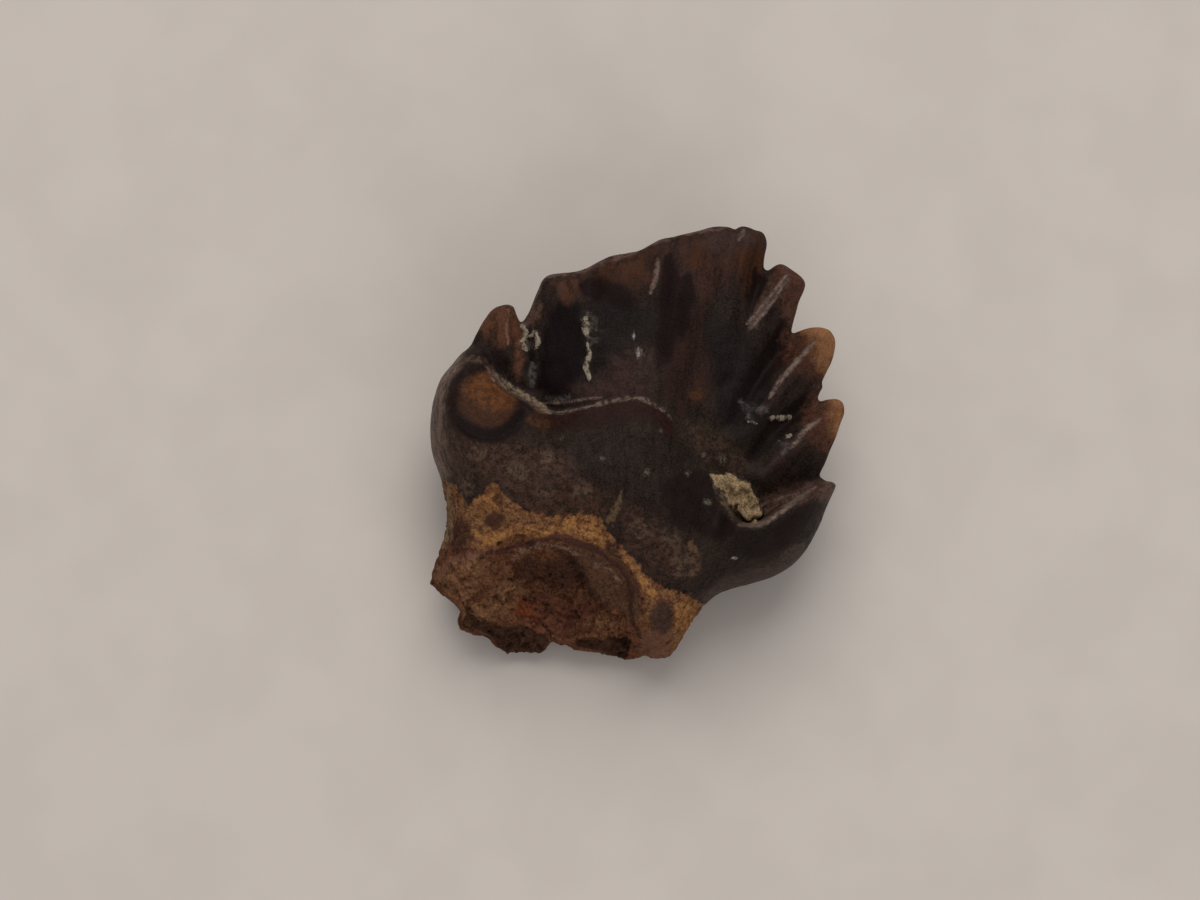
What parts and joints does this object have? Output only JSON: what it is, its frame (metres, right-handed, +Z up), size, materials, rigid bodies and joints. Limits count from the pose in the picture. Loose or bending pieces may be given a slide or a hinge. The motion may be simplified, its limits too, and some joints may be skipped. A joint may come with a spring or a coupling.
{
  "type": "fossil nodosaur tooth",
  "caption": "Fossil nodosaur tooth lying on its back: a leaf-shaped crown with pointed denticles, a swollen cingulum and a short broken root with a hollow in its end.",
  "frame": {"origin": "bottom centre of the tooth's box as it lies on its back", "axes": "+X right across the face, +Y from the root toward the crown, +Z up out of the face"},
  "size_m": [0.0124, 0.0126, 0.0051],
  "materials": {
    "fossil_enamel": "satin dark brown fossil enamel, tan and rust brown on the root"
  },
  "bodies": {
    "root": {"tooth": "fossil_enamel"}
  },
  "joints": []
}
